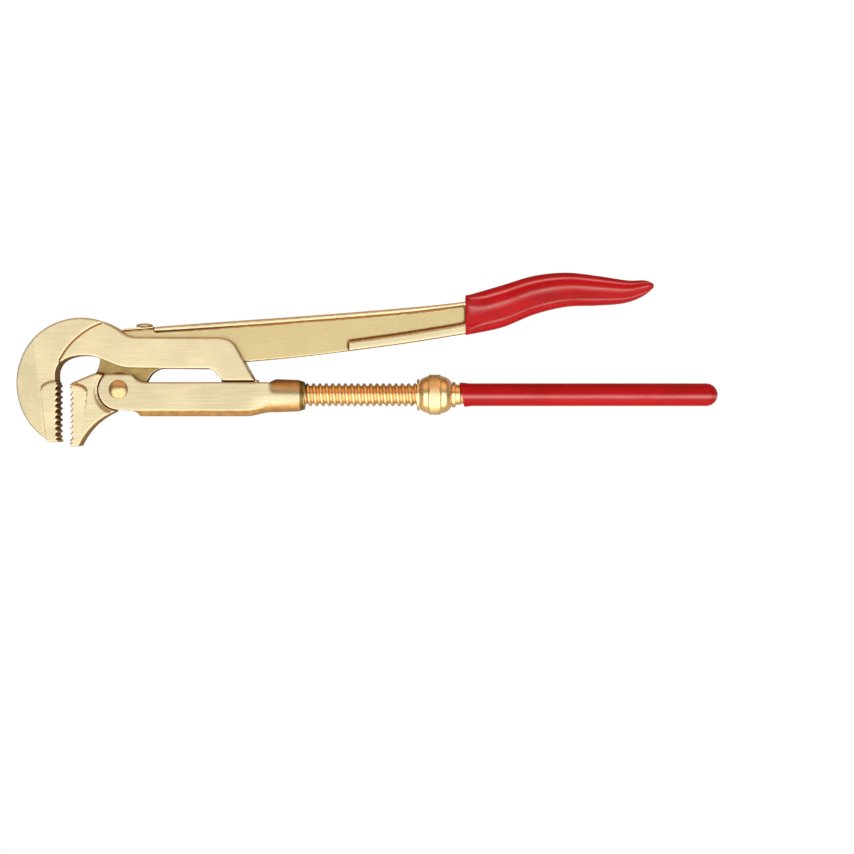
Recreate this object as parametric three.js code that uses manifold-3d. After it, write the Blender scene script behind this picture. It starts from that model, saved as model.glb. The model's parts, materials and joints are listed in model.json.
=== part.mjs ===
// A pipe wrench of the Swedish pattern, with its jaws square to the handles.
//
// Millimetres, +Z up. The wrench lies on its side: X runs from the jaws to the handle ends, Y from the
// rod towards the lever, Z through the thickness. It is drawn from the pivot (x = 0) and the rod's axis
// (y = 0, z = 0), and moved at the end so that the origin is at the bottom centre of its box.

import * as THREE from 'three';
import { mergeVertices } from 'three/addons/utils/BufferGeometryUtils.js';
import Module from 'manifold-3d';

const wasm = await Module();
wasm.setup();

// Driving dimensions
const PIVOT_HEIGHT = 3.0; // the pivot stands this far above the rod's axis
const GAP = 0.3; // between touching pieces
const NUT_PLACE = 190.8; // the nut's middle, along the rod

const TOOTH = { pitch: 3.45, depth: 1.9, count: 10 };

const HEAD = {
  x: -22.6, y: 6.7, radius: 39.7, bottom: -28.8,
  halfThickness: 10, shankHalfThickness: 8.9, landHalfThickness: 10.4,
  toothTips: -36.4, bevelTilt: 0.27, bevelSlant: 0.1, bevelLine: -47.9,
};

const SLOT = { halfWidth: 6.2, left: -17, floor: 11.2 };
const TONGUE = { left: 62, right: 84, radius: 7.0, top: 9 };
const CROSS_PIN = { x: 74, radius: 2, halfLength: 6.6 };

const ROD = {
  crest: 7.0, root: 5.45, pitch: 3.85, plain: 6.2, tang: 5.0, bar: 5.6,
  tangStart: 66.3, shoulder: 84.4, threadStart: 98, threadEnd: 201.1, barStart: 207, end: 357.6,
};

const FRAME = {
  halfThickness: 10, channel: 7.3, earRadius: 12.2, earTop: 12.3, railTop: 7.5, bottom: -13.1,
  floorStart: 11.8, chamferRise: 3.5, chamferDepth: 4.6, blendStart: 77, channelEnd: 91,
  socketStart: 95, socketEnd: 109.4,
  socketRadius: 10.1, socketDrop: 0.6, mouth: 112.3, mouthRadius: 8.4, bore: 7.4,
};

const LEVER = {
  hubRadius: 9.1, hubHalfThickness: 7.0, webHalfThickness: 4.4, beamHalfThickness: 5.9,
  jawHalfThickness: 9.7, jawLandHalfThickness: 10.5, landFall: 0.0215, toothTips: -29.3,
  jawBottom: -34.3, earRecess: 12.8, stepRadius: 15.2, flangeStart: 139, gripStart: 211,
};

const PIVOT_RIVET = { radius: 4.0, hole: 4.3, headRadius: 5.7, headHeight: 2.4 };
const SPRING = { halfWidth: 4.4, thickness: 0.9, rivetX: 14.7, rivetRadius: 2.0, headRadius: 5.1 };
const NUT = {
  front: -8.7, back: 10.1, land: 8.8, shoulder: 11.5, bandStart: -3.2, bandEnd: 3.7, bandRadius: 12.3,
  washer: 1.5, washerRadius: 9.5,
};
const STOP_RING = { start: 201.3, end: 203.7, radius: 7.7 };
const GRIP = {
  skin: 1.5, halfThickness: 7.2, coreHalfThickness: 5.0,
  lowerStart: 206.1, lowerEnd: 363, lowerRadius: 6.9, rimRadius: 7.4,
};

const bronze = (name, color, roughness) => new THREE.MeshStandardMaterial({
  name, color, roughness, metalness: 1.0,
});
const castBronze = bronze('cast_bronze', 0xd9b877, 0.38);
const turnedBronze = bronze('turned_bronze', 0xb98a4e, 0.34);
const springBronze = bronze('spring_bronze', 0xc79a5b, 0.3);
const dippedPlastic = new THREE.MeshStandardMaterial({
  name: 'dipped_plastic', color: 0xc8161e, roughness: 0.25, metalness: 0.0,
});

// ---------------------------------------------------------------------------------------------------
// Solids

// A closed geometry as a solid that can be joined and cut.
function solid(geometry) {
  const bare = geometry.clone();
  bare.deleteAttribute('normal');
  bare.deleteAttribute('uv');
  const merged = mergeVertices(bare, 1e-4);
  const corners = merged.index.array;
  const triangles = [];
  for (let i = 0; i < corners.length; i += 3) {
    const [a, b, c] = [corners[i], corners[i + 1], corners[i + 2]];
    if (a !== b && b !== c && c !== a) triangles.push(a, b, c);
  }
  return new wasm.Manifold(new wasm.Mesh({
    numProp: 3,
    vertProperties: new Float32Array(merged.attributes.position.array),
    triVerts: new Uint32Array(triangles),
  }));
}

// A flat outline given its thickness along Z, with rounded edges if edge is more than 0.
function plate(outline, bottom, top, { edge = 0, curveSegments = 8 } = {}) {
  const geometry = new THREE.ExtrudeGeometry(outline, {
    depth: top - bottom - 2 * edge,
    bevelEnabled: edge > 0,
    bevelThickness: edge,
    bevelSize: edge,
    bevelOffset: -edge,
    bevelSegments: 3,
    curveSegments,
  });
  geometry.translate(0, 0, bottom + edge);
  return solid(geometry);
}

const slab = (outline, halfThickness, options) => plate(outline, -halfThickness, halfThickness, options);

// A cut made in the top face, and the same in the bottom face.
const bothFaces = (cut) => cut.add(cut.mirror([0, 0, 1]));

// Everything above a plane that starts level, is turned about X, Y and Z, and then passes through a
// place on the top face. The bottom face is cut to match.
function halfSpace(turn, place) {
  const size = 160;
  const geometry = new THREE.BoxGeometry(size, size, size);
  geometry.translate(0, 0, size / 2);
  geometry.applyMatrix4(new THREE.Matrix4().makeRotationFromEuler(new THREE.Euler(...turn, 'ZYX')));
  geometry.translate(...place);
  return bothFaces(solid(geometry));
}

// A section drawn in Y and Z, drawn out along X.
function bar(section, start, end) {
  const geometry = new THREE.ExtrudeGeometry(section, {
    depth: end - start,
    bevelEnabled: false,
    curveSegments: 10,
  });
  geometry.rotateY(Math.PI / 2);
  geometry.rotateX(Math.PI / 2);
  geometry.translate(start, 0, 0);
  return solid(geometry);
}

function block(x0, x1, y0, y1, halfThickness) {
  const geometry = new THREE.BoxGeometry(x1 - x0, y1 - y0, 2 * halfThickness);
  geometry.translate((x0 + x1) / 2, (y0 + y1) / 2, 0);
  return solid(geometry);
}

// A profile of (x, radius) points turned about the rod's axis. It runs from the jaws to the handles.
function turned(profile, segments = 24, y = 0) {
  const points = profile.map(([x, radius]) => new THREE.Vector2(radius, x));
  const geometry = new THREE.LatheGeometry(points, segments);
  geometry.rotateZ(-Math.PI / 2);
  geometry.translate(0, y, 0);
  return solid(geometry);
}

// A round bar or bore along X, Y or Z.
function cylinder(radius, length, axis, place, segments = 20) {
  const geometry = new THREE.CylinderGeometry(radius, radius, length, segments);
  if (axis === 'x') geometry.rotateZ(Math.PI / 2);
  if (axis === 'z') geometry.rotateX(Math.PI / 2);
  geometry.translate(...place);
  return solid(geometry);
}

// A closed form through a row of sections. Each section is a ring of as many points, [x, y, z].
function loft(sections) {
  const around = sections[0].length;
  const faces = [];
  for (let i = 0; i < sections.length - 1; i += 1) {
    for (let j = 0; j < around; j += 1) {
      const next = (j + 1) % around;
      const [a, b] = [i * around + j, i * around + next];
      faces.push(a, b + around, a + around, a, b, b + around);
    }
  }
  for (let j = 1; j < around - 1; j += 1) {
    const last = (sections.length - 1) * around;
    faces.push(0, j + 1, j, last, last + j, last + j + 1);
  }
  const geometry = new THREE.BufferGeometry();
  geometry.setAttribute('position', new THREE.Float32BufferAttribute(sections.flat(2), 3));
  geometry.setIndex(faces);
  return solid(geometry);
}

// A sine or cosine pushed towards 1 and -1, so that a circle becomes a square with round corners.
const squared = (value, exponent) => Math.sign(value) * Math.abs(value) ** (2 / exponent);

// A bar with a single-start thread. Each turn repeats one trapezoid, from root to crest and back, and
// one strip of faces winds round the axis. The ends are then cut square.
function threadedBar(start, end, crest, root, pitch, widening = 0) {
  const steps = 12;
  const flank = 0.16;
  const crestWidth = 0.34 + 2 * widening;
  const profile = [
    [(1 - crestWidth) / 2 - flank, root],
    [(1 - crestWidth) / 2, crest],
    [(1 + crestWidth) / 2, crest],
    [(1 + crestWidth) / 2 + flank, root],
  ];
  const rows = profile.length;
  const turns = Math.ceil((end - start) / pitch) + 3;
  const first = Math.floor(start / pitch) - 1;
  const positions = [];
  const columns = turns * steps;
  for (let i = 0; i <= columns + steps; i += 1) {
    const angle = (2 * Math.PI * i) / steps;
    for (const [along, radius] of profile) {
      const x = pitch * (first + i / steps + along);
      positions.push(x, radius * Math.cos(angle), radius * Math.sin(angle));
    }
  }
  // Where one turn's profile ends, the next turn's begins.
  const at = (column, row) => (row === rows ? (column + steps) * rows : column * rows + row);
  const faces = [];
  for (let i = 0; i < columns; i += 1) {
    for (let j = 0; j < rows; j += 1) {
      const [a, b, c, d] = [at(i, j), at(i + 1, j), at(i + 1, j + 1), at(i, j + 1)];
      faces.push(a, b, c, a, c, d);
    }
  }
  const close = (column, x, outward) => {
    const hub = positions.length / 3;
    positions.push(x, 0, 0);
    const rim = [];
    for (let i = 0; i <= steps; i += 1) rim.push(at(column + i, 0));
    for (let j = rows - 1; j > 0; j -= 1) rim.push(at(column, j));
    rim.forEach((corner, i) => {
      const next = rim[(i + 1) % rim.length];
      faces.push(...(outward ? [hub, corner, next] : [hub, next, corner]));
    });
  };
  close(0, pitch * (first + 0.5), false);
  close(columns, pitch * (first + turns + 0.5), true);
  const geometry = new THREE.BufferGeometry();
  geometry.setAttribute('position', new THREE.Float32BufferAttribute(positions, 3));
  geometry.setIndex(faces);
  const length = end - start;
  return solid(geometry).intersect(
    cylinder(crest + 1, length, 'x', [start + length / 2, 0, 0], 12),
  );
}

// A finished solid as a named mesh.
function piece(name, shape, material) {
  const { vertProperties, triVerts } = shape.getMesh();
  const geometry = new THREE.BufferGeometry();
  geometry.setAttribute('position', new THREE.BufferAttribute(vertProperties, 3));
  geometry.setIndex(new THREE.BufferAttribute(triVerts, 1));
  geometry.computeVertexNormals();
  const mesh = new THREE.Mesh(geometry, material);
  mesh.name = name;
  return mesh;
}

const vectors = (points) => points.map(([x, y]) => new THREE.Vector2(x, y));
const polygon = (points) => new THREE.Shape(vectors(points));

// The gaps between a row of teeth, as one comb that cuts them out of a straight edge. The teeth run
// down from top, and side is 1 where they point towards +X.
function toothComb(tips, top, side) {
  const points = [[tips + side * 3, top], [tips - side * TOOTH.depth, top]];
  for (let i = 0; i < TOOTH.count; i += 1) {
    const y = top - i * TOOTH.pitch;
    points.push([tips, y - 0.45 * TOOTH.pitch]);
    points.push([tips, y - 0.55 * TOOTH.pitch]);
    points.push([tips - side * TOOTH.depth, y - TOOTH.pitch]);
  }
  points.push([tips + side * 3, top - TOOTH.count * TOOTH.pitch]);
  return slab(polygon(side > 0 ? points : points.reverse()), 14);
}

// ---------------------------------------------------------------------------------------------------
// Hook jaw

const TEETH_TOP = 7.2;
const BOTTOM_ANGLE = Math.PI - Math.asin((HEAD.bottom - HEAD.y) / HEAD.radius);

function hookOutline() {
  const outline = new THREE.Shape();
  outline.moveTo(HEAD.toothTips, TEETH_TOP);
  outline.lineTo(HEAD.toothTips, HEAD.bottom);
  outline.absarc(HEAD.x, HEAD.y, HEAD.radius, BOTTOM_ANGLE, 0.9, true);
  outline.quadraticCurveTo(5.4, 34.9, 11, 34.8);
  outline.lineTo(60.5, 34.5);
  outline.quadraticCurveTo(67.8, 34.2, 70.7, 29.2);
  outline.lineTo(82.2, 8.4);
  outline.lineTo(62.9, 8.4);
  outline.lineTo(57.5, 14.2);
  outline.quadraticCurveTo(56.2, 15.6, 53.5, 15.6);
  outline.lineTo(8, 16.1);
  outline.bezierCurveTo(-1, 16.2, -7, 21, -15, 23);
  outline.bezierCurveTo(-25, 25, -38.1, 22.5, -38.1, 12);
  outline.lineTo(-38.1, TEETH_TOP);
  return outline;
}

// Outside the round step that bounds the head, the shank's cheeks lie a little lower.
function cheekOutline() {
  const outline = new THREE.Shape();
  outline.moveTo(-30, 0);
  outline.lineTo(95, 0);
  outline.lineTo(95, 60);
  outline.absarc(5.3, 0, 46.25, Math.PI / 2, 2.66, false);
  outline.lineTo(-36, 18);
  outline.lineTo(-30, 10);
  return outline;
}

// A low raised land runs behind the hook's teeth.
function hookLandOutline() {
  const outline = new THREE.Shape();
  outline.moveTo(HEAD.toothTips, HEAD.bottom + 0.3);
  outline.lineTo(-43.1, HEAD.bottom + 0.3);
  outline.lineTo(-46.6, 1.5);
  outline.quadraticCurveTo(-46.8, 6.6, -38.2, 7.9);
  outline.lineTo(HEAD.toothTips, TEETH_TOP);
  return outline;
}

// The crescent at the front of the head falls away from a line that leans with the teeth.
const crescentCut = () => halfSpace(
  [0, -HEAD.bevelTilt, HEAD.bevelSlant], [HEAD.bevelLine, 6, HEAD.halfThickness],
);

function hookJaw() {
  const slot = polygon([
    [SLOT.left, SLOT.floor], [95, SLOT.floor], [95, 60], [-10, 60], [-10, 37], [SLOT.left, 30],
  ]);
  const section = new THREE.Shape();
  section.moveTo(TONGUE.top, -TONGUE.radius);
  section.lineTo(TONGUE.top, TONGUE.radius);
  section.absarc(0, 0, TONGUE.radius, Math.PI / 2, 1.5 * Math.PI, false);
  const socketLength = TONGUE.right - ROD.tangStart + GAP;
  return slab(hookOutline(), HEAD.halfThickness, { curveSegments: 24 })
    .subtract(bothFaces(plate(cheekOutline(), HEAD.shankHalfThickness, 20, { curveSegments: 12 })))
    .add(slab(hookLandOutline(), HEAD.landHalfThickness))
    .subtract(crescentCut())
    .subtract(toothComb(HEAD.toothTips, TEETH_TOP, 1))
    .subtract(slab(slot, SLOT.halfWidth))
    .add(bar(section, TONGUE.left, TONGUE.right))
    .subtract(cylinder(ROD.tang + GAP, socketLength + 2, 'x',
      [ROD.tangStart - GAP + socketLength / 2 + 1, 0, 0]))
    .subtract(cylinder(CROSS_PIN.radius + GAP, 20, 'z', [CROSS_PIN.x, 0, 0], 16));
}

// ---------------------------------------------------------------------------------------------------
// Rod

function adjustingRod() {
  const middle = (ROD.threadStart + ROD.threadEnd) / 2;
  const front = turned([
    [ROD.tangStart, 0], [ROD.tangStart, ROD.tang], [ROD.shoulder, ROD.tang],
    [ROD.shoulder, ROD.plain], [ROD.threadStart, ROD.plain], [ROD.threadStart + 0.6, ROD.root - 0.2],
    [middle, ROD.root - 0.2], [middle, 0],
  ]);
  const back = turned([
    [middle - 1, 0], [middle - 1, ROD.root - 0.2], [ROD.threadEnd, ROD.root - 0.2],
    [ROD.threadEnd, ROD.plain], [ROD.barStart - 0.6, ROD.plain], [ROD.barStart, ROD.bar],
    [ROD.end - 3, ROD.bar], [ROD.end, ROD.bar - 3], [ROD.end, 0],
  ]);
  return threadedBar(ROD.threadStart + 0.1, ROD.threadEnd - 0.1, ROD.crest, ROD.root, ROD.pitch)
    .add(front)
    .add(back)
    .subtract(cylinder(CROSS_PIN.radius + GAP, 20, 'z', [CROSS_PIN.x, 0, 0], 16));
}

const crossPin = () => cylinder(
  CROSS_PIN.radius, 2 * CROSS_PIN.halfLength, 'z', [CROSS_PIN.x, 0, 0], 16,
);

const stopRing = () => turned([
  [STOP_RING.start, ROD.plain + GAP], [STOP_RING.start, STOP_RING.radius - 0.6],
  [STOP_RING.start + 0.6, STOP_RING.radius], [STOP_RING.end - 0.6, STOP_RING.radius],
  [STOP_RING.end, STOP_RING.radius - 0.6], [STOP_RING.end, ROD.plain + GAP],
  [STOP_RING.start, ROD.plain + GAP],
]);

// ---------------------------------------------------------------------------------------------------
// Frame: two ears on the pivot, an open channel, and a round socket for the rod

function frameOutline() {
  const outline = new THREE.Shape();
  const top = FRAME.earTop - PIVOT_HEIGHT;
  const earAngle = Math.PI - Math.asin(top / FRAME.earRadius);
  outline.moveTo(6.4, FRAME.earTop);
  outline.absarc(0, PIVOT_HEIGHT, FRAME.earRadius, earAngle, 1.48 * Math.PI, false);
  outline.lineTo(8.6, FRAME.bottom + 3.1);
  outline.quadraticCurveTo(11.6, -10.8, 12.4, FRAME.bottom);
  outline.lineTo(FRAME.blendStart + 0.5, FRAME.bottom);
  outline.lineTo(FRAME.blendStart + 0.5, FRAME.railTop);
  outline.lineTo(16, FRAME.railTop);
  outline.quadraticCurveTo(11.6, 7.9, 9.4, 10.8);
  outline.quadraticCurveTo(8.4, FRAME.earTop, 6.4, FRAME.earTop);
  return outline;
}

// Between the flat sides and the round socket, each section is part-way from the chamfered outline to
// the circle. The underside changes over the whole length, and the top only near the socket.
function socketBlend() {
  const { halfThickness: half, chamferRise, chamferDepth, blendStart, socketStart } = FRAME;
  const { lerp, smoothstep } = THREE.MathUtils;
  const top = FRAME.railTop + FRAME.socketDrop;
  const bottom = FRAME.bottom + FRAME.socketDrop;
  const corners = [[top, half], [bottom + chamferRise, half], [bottom, half - chamferDepth]];
  const angles = corners.map(([up, out]) => Math.atan2(out, up));
  for (let j = 0; j <= 24; j += 1) angles.push((j * Math.PI) / 24);
  angles.sort((a, b) => a - b);
  const around = [...angles, ...angles.slice(1, -1).reverse().map((angle) => -angle)];
  const steps = 14;
  return loft(Array.from({ length: steps + 1 }, (_, i) => {
    const x = lerp(blendStart, socketStart, i / steps);
    const above = smoothstep(x, 89.5, socketStart);
    const below = smoothstep(x, blendStart, 92);
    return around.map((angle) => {
      const up = Math.cos(angle);
      const out = Math.abs(Math.sin(angle));
      const flats = [top / up, bottom / up, half / out,
        (chamferRise * half - chamferDepth * (bottom + chamferRise))
          / (chamferRise * out - chamferDepth * up)];
      const flat = Math.min(...flats.filter((reach) => reach > 0));
      const share = lerp(below, above, smoothstep(up, -0.3, 0.3));
      const radius = lerp(flat, FRAME.socketRadius, share) - 0.02;
      return [x, radius * up - FRAME.socketDrop, radius * Math.sin(angle)];
    });
  }));
}

function frameSleeve() {
  const { halfThickness: half, bottom, chamferRise, chamferDepth } = FRAME;
  const shell = polygon([
    [20, -half], [20, half], [bottom + chamferRise, half], [bottom, half - chamferDepth],
    [bottom, chamferDepth - half], [bottom + chamferRise, -half],
  ]);
  const channel = new THREE.Shape();
  channel.moveTo(30, -FRAME.channel);
  channel.lineTo(30, FRAME.channel);
  channel.absarc(0, 0, FRAME.channel, Math.PI / 2, 1.5 * Math.PI, false);
  const socket = turned([
    [FRAME.socketStart - 0.5, 0], [FRAME.socketStart - 0.5, FRAME.socketRadius],
    [FRAME.socketEnd - 0.6, FRAME.socketRadius - 0.5], [FRAME.socketEnd, FRAME.socketRadius - 0.9],
    [FRAME.mouth, FRAME.mouthRadius], [FRAME.mouth, 0],
  ], 48, -FRAME.socketDrop);
  return slab(frameOutline(), half, { curveSegments: 14 })
    .intersect(bar(shell, -20, 100))
    .add(socketBlend())
    .add(socket)
    .subtract(bar(channel, -20, FRAME.channelEnd))
    .subtract(block(-20, FRAME.floorStart, -20, 20, FRAME.channel))
    .subtract(cylinder(FRAME.bore, 40, 'x', [FRAME.socketEnd - 5, 0, 0], 32))
    .subtract(cylinder(PIVOT_RIVET.hole, 40, 'z', [0, PIVOT_HEIGHT, 0]));
}

// The pivot rivet has a domed head on each side. It is drawn about the pivot.
function pivotRivet() {
  const { radius, headRadius, headHeight } = PIVOT_RIVET;
  const under = FRAME.halfThickness + GAP;
  const profile = [[-under, radius], [under, radius], [under, headRadius]];
  const dome = 4;
  for (let i = 1; i <= dome; i += 1) {
    const angle = (i / dome) * (Math.PI / 2);
    profile.push([under + 0.4 + (headHeight - 0.4) * Math.sin(angle), headRadius * Math.cos(angle)]);
  }
  profile[profile.length - 1][1] = 0;
  const mirrored = profile.slice(2).reverse().map(([z, r]) => [-z, r]);
  const points = [...mirrored, ...profile].map(([z, r]) => new THREE.Vector2(r, z));
  const geometry = new THREE.LatheGeometry(points, 20);
  geometry.rotateX(Math.PI / 2);
  return solid(geometry);
}

// ---------------------------------------------------------------------------------------------------
// Lever: lower jaw, hub, neck and upper handle in one casting, drawn about the pivot

// The upper grip's top and bottom edges, point for point, from the grip's mouth to its rounded tip.
const GRIP_TOP = new THREE.SplineCurve(vectors([
  [211, 57.4], [232, 63.6], [251.4, 69.3], [270.9, 71.2], [290, 69.2], [308, 66.5], [318.5, 66.5],
  [324, 64.4],
]));
const GRIP_BOTTOM = new THREE.SplineCurve(vectors([
  [211, 33.4], [232, 37.8], [251.4, 45.6], [270.9, 50.3], [290, 51.1], [306, 52.5], [317, 56.4],
  [324, 61.8],
]));

// A form that follows the grip, set in from its surface, as a row of rounded sections.
function gripForm(inset, halfThickness, from, to) {
  const stations = 16;
  const corners = 16;
  const sections = [];
  for (let i = 0; i <= stations; i += 1) {
    const t = from + ((to - from) * i) / stations;
    const top = GRIP_TOP.getPoint(t);
    const bottom = GRIP_BOTTOM.getPoint(t);
    const centre = top.clone().add(bottom).multiplyScalar(0.5);
    const rise = top.sub(centre);
    rise.setLength(Math.max(rise.length() - inset, 0.3));
    const taper = Math.sqrt(1 - 0.9 * Math.max(0, (t - 0.78) / 0.22) ** 2);
    sections.push(Array.from({ length: corners }, (_, j) => {
      const angle = (2 * Math.PI * j) / corners;
      const up = squared(Math.cos(angle), 3.2);
      const across = squared(Math.sin(angle), 3.2) * halfThickness * taper;
      return [centre.x + rise.x * up, centre.y + rise.y * up, across];
    }));
  }
  return loft(sections);
}

function jawOutline() {
  const outline = new THREE.Shape();
  outline.moveTo(LEVER.toothTips, LEVER.jawBottom);
  outline.lineTo(-24.1, LEVER.jawBottom);
  outline.quadraticCurveTo(-17.1, -19.3, -2.4, -13.3);
  outline.lineTo(0, 0);
  outline.lineTo(-9.6, 9);
  outline.lineTo(-14.6, 9.9);
  outline.lineTo(-25.3, 5.3);
  outline.quadraticCurveTo(-28.4, 4.4, LEVER.toothTips, 2.6);
  return outline;
}

function jawLandOutline() {
  const outline = new THREE.Shape();
  outline.moveTo(LEVER.toothTips, LEVER.jawBottom);
  outline.lineTo(-24.1, LEVER.jawBottom);
  outline.lineTo(-19.4, -1.4);
  outline.quadraticCurveTo(-20.4, 2.4, -28.4, 3);
  outline.lineTo(LEVER.toothTips, 2.4);
  return outline;
}

// The land behind the lower jaw's teeth stands proud at its top and runs out towards the jaw's tip.
const landCut = () => halfSpace([LEVER.landFall, 0, 0], [0, 2.4, LEVER.jawLandHalfThickness]);

// The neck rises from the hub and widens into the handle. A flat seat at its top takes the spring.
function neckOutline() {
  const outline = new THREE.Shape();
  outline.moveTo(0, 0);
  outline.lineTo(-14.6, 9.9);
  outline.quadraticCurveTo(-12.2, 13, -12, 18.6);
  outline.lineTo(-8, 26);
  outline.quadraticCurveTo(-4, 33.6, 3, 35.7);
  outline.lineTo(20.8, 37.1);
  outline.lineTo(46, 39);
  outline.lineTo(46, 15);
  outline.lineTo(25, 12.6);
  outline.quadraticCurveTo(18.6, 10.6, 16.7, 4.6);
  outline.lineTo(11, 0);
  return outline;
}

function beamOutline() {
  const outline = new THREE.Shape();
  outline.moveTo(25, 12.6);
  outline.splineThru(vectors([[60, 15.6], [109.3, 20], [170, 27.8], [LEVER.gripStart + 3, 34.8]]));
  outline.lineTo(LEVER.gripStart + 3, 54.2);
  outline.splineThru(vectors([[200, 52.1], [165, 48.8], [110, 44.4], [60, 40.9], [21.4, 38.0]]));
  outline.lineTo(20.8, 37.1);
  return outline;
}

// Each face of the handle is hollowed between its top flange and, near the grip, its bottom flange. The
// neck and the hollow lie level, and the top flange runs out under the spring.
function beamPocket() {
  const outline = new THREE.Shape();
  const { flangeStart, gripStart } = LEVER;
  outline.moveTo(17.5, 5);
  outline.lineTo(flangeStart, 5);
  outline.lineTo(flangeStart, 29.1);
  outline.splineThru(vectors([[170, 33.4], [200, 38.2], [gripStart - 1, 40.2]]));
  outline.lineTo(gripStart - 1, 51.3);
  outline.splineThru(vectors([[170, 46.5], [110, 41.6], [60, 37.9], [34, 36.2], [17.5, 35.2]]));
  return outline;
}

function leverArm() {
  const { webHalfThickness: web, earRecess, hubHalfThickness, stepRadius, jawHalfThickness } = LEVER;
  const facing = (radius, from) => bothFaces(cylinder(radius, 20, 'z', [0, 0, from + 10], 40));
  return slab(jawOutline(), jawHalfThickness)
    .subtract(facing(stepRadius, jawHalfThickness - 0.6))
    .add(slab(jawLandOutline(), LEVER.jawLandHalfThickness).subtract(landCut()))
    .subtract(facing(earRecess, hubHalfThickness))
    .subtract(toothComb(LEVER.toothTips, 2.2, -1))
    .add(cylinder(LEVER.hubRadius, 2 * hubHalfThickness, 'z', [0, 0, 0], 32))
    .add(slab(neckOutline(), web))
    .add(slab(beamOutline(), LEVER.beamHalfThickness, { curveSegments: 4 })
      .subtract(bothFaces(plate(beamPocket(), web, 20, { curveSegments: 4 }))))
    .add(gripForm(GRIP.skin + GAP, GRIP.coreHalfThickness, 0.025, 0.95))
    .subtract(cylinder(PIVOT_RIVET.hole, 40, 'z', [0, 0, 0]))
    .subtract(cylinder(SPRING.rivetRadius + GAP, 16, 'y', [SPRING.rivetX, 38, 0], 16));
}

// A leaf spring lies on the seat, and its free end curls down into the hook's slot.
function leafSpring() {
  const { thickness } = SPRING;
  const outline = new THREE.Shape();
  outline.moveTo(20.4, 37.4);
  outline.lineTo(20.4, 37.4 + thickness);
  outline.lineTo(3.2, 36.05 + thickness);
  outline.quadraticCurveTo(-2.2, 35.2, -5.2, 31.6);
  outline.lineTo(-4.6, 31);
  outline.quadraticCurveTo(-1.6, 34.4, 3.2, 36.05);
  return slab(outline, SPRING.halfWidth)
    .subtract(cylinder(SPRING.rivetRadius + GAP, 16, 'y', [SPRING.rivetX, 38, 0], 16));
}

// The spring rivet is drawn about its own axis, along Y, from under its flat domed head.
function springRivet() {
  const { headRadius, rivetRadius } = SPRING;
  const points = [
    [0, -7], [rivetRadius, -7], [rivetRadius, 0], [headRadius, 0], [headRadius, 0.9],
    [headRadius - 1.2, 1.6], [headRadius - 3, 1.9], [0, 2],
  ].map(([radius, y]) => new THREE.Vector2(radius, y));
  return solid(new THREE.LatheGeometry(points, 18));
}

// ---------------------------------------------------------------------------------------------------
// Nut and washer, drawn about the nut's middle. A raised band for the fingers goes round the nut.

function adjustingNut() {
  const { front, back, land, shoulder, bandStart, bandEnd, bandRadius } = NUT;
  const profile = [
    [front, 0], [front, land], [front + 0.5, land + 0.6], [-6, 10.6], [bandStart - 0.4, shoulder],
    [bandStart, bandRadius], [bandEnd, bandRadius], [bandEnd + 0.4, shoulder], [7.4, 10.5],
    [9.4, 8.9], [back, 7.9], [back, 0],
  ];
  const thread = threadedBar(
    NUT_PLACE - 14, NUT_PLACE + 14, ROD.crest + 0.35, ROD.root + 0.35, ROD.pitch, 0.04,
  );
  return turned(profile, 36)
    .subtract(thread.translate([-NUT_PLACE, 0, 0]));
}

function thrustWasher() {
  const start = NUT.front - GAP - NUT.washer;
  const inner = ROD.crest + 0.4;
  return turned([
    [start, inner], [start, NUT.washerRadius - 0.4], [start + 0.4, NUT.washerRadius],
    [start + NUT.washer, NUT.washerRadius], [start + NUT.washer, inner], [start, inner],
  ]);
}

// ---------------------------------------------------------------------------------------------------
// Grips: plastic dipped over each handle, open at one end

function upperGrip() {
  const { skin, halfThickness, coreHalfThickness } = GRIP;
  const mouth = block(LEVER.gripStart - 2, LEVER.gripStart + 3.3, 34.3, 54.6,
    LEVER.beamHalfThickness + GAP);
  return gripForm(0, halfThickness, 0, 1)
    .subtract(gripForm(skin, coreHalfThickness + GAP, 0.01, 0.965))
    .subtract(mouth);
}

function lowerGrip() {
  const { lowerStart, lowerEnd, lowerRadius, rimRadius } = GRIP;
  const inner = ROD.bar + GAP;
  const profile = [
    [lowerStart, ROD.plain + GAP], [lowerStart, rimRadius - 0.5], [lowerStart + 0.5, rimRadius],
    [lowerStart + 5, lowerRadius],
  ];
  const dome = 5;
  for (let i = 0; i < dome; i += 1) {
    const angle = (i / dome) * (Math.PI / 2);
    profile.push([lowerEnd - lowerRadius * (1 - Math.sin(angle)), lowerRadius * Math.cos(angle)]);
  }
  profile.push([lowerEnd, 0], [ROD.end + GAP, 0], [ROD.end + GAP, inner - 3], [ROD.end - 3, inner],
    [ROD.barStart + GAP, inner], [ROD.barStart + GAP, ROD.plain + GAP]);
  profile.push(profile[0]);
  return turned(profile, 20);
}

// ---------------------------------------------------------------------------------------------------
// Assembly

const hook = new THREE.Group();
hook.add(
  piece('hook_jaw', hookJaw(), castBronze),
  piece('adjusting_rod', adjustingRod(), turnedBronze),
  piece('rod_cross_pin', crossPin(), turnedBronze),
  piece('nut_stop_ring', stopRing(), turnedBronze),
  piece('lower_grip', lowerGrip(), dippedPlastic),
);

const lever = new THREE.Group();
const springRivetMesh = piece('spring_rivet', springRivet(), springBronze);
springRivetMesh.position.set(SPRING.rivetX, 37.4 + SPRING.thickness, 0);
lever.add(
  piece('lever_arm', leverArm(), castBronze),
  piece('leaf_spring', leafSpring(), springBronze),
  springRivetMesh,
  piece('upper_grip', upperGrip(), dippedPlastic),
);

const pivot = new THREE.Group();
pivot.position.y = PIVOT_HEIGHT;
pivot.add(piece('pivot_rivet', pivotRivet(), turnedBronze), lever);

const sleeve = new THREE.Group();
sleeve.add(piece('frame_sleeve', frameSleeve(), castBronze), pivot);

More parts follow.
